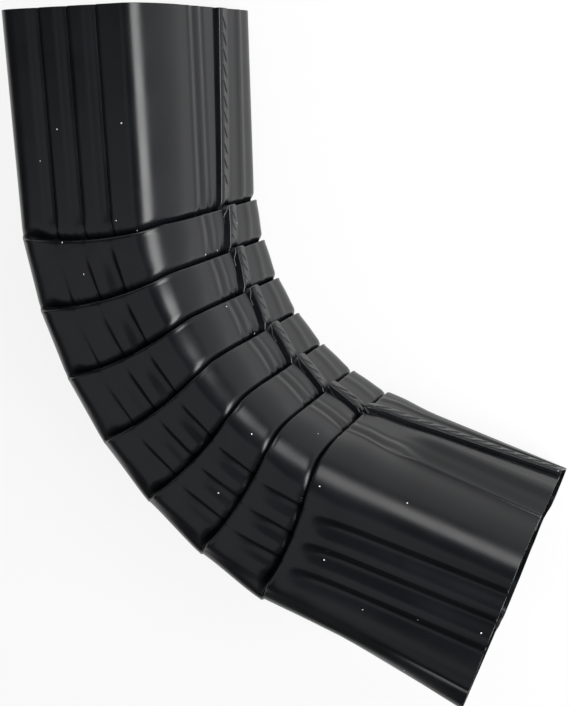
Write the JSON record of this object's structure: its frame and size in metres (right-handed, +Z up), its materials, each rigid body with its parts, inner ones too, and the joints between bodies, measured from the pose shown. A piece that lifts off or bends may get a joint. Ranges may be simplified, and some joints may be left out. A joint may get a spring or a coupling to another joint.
{
  "type": "downspout elbow",
  "caption": "Rectangular sheet-metal downspout elbow with crimped pleats around the bend, grooved side faces, a lock seam along the throat and a crimped outlet.",
  "frame": {"origin": "on the surface that the elbow lies on, under the middle of its bounding box", "axes": "+Y points out of the inlet leg along its length, +X lies in the plane of the bend on the side that the outlet turns to, +Z points up across the width of the duct"},
  "size_m": [0.2518, 0.3152, 0.1143],
  "materials": {
    "painted_sheet": "satin black paint on sheet metal"
  },
  "bodies": {
    "root": {"elbow": "painted_sheet"}
  },
  "joints": []
}
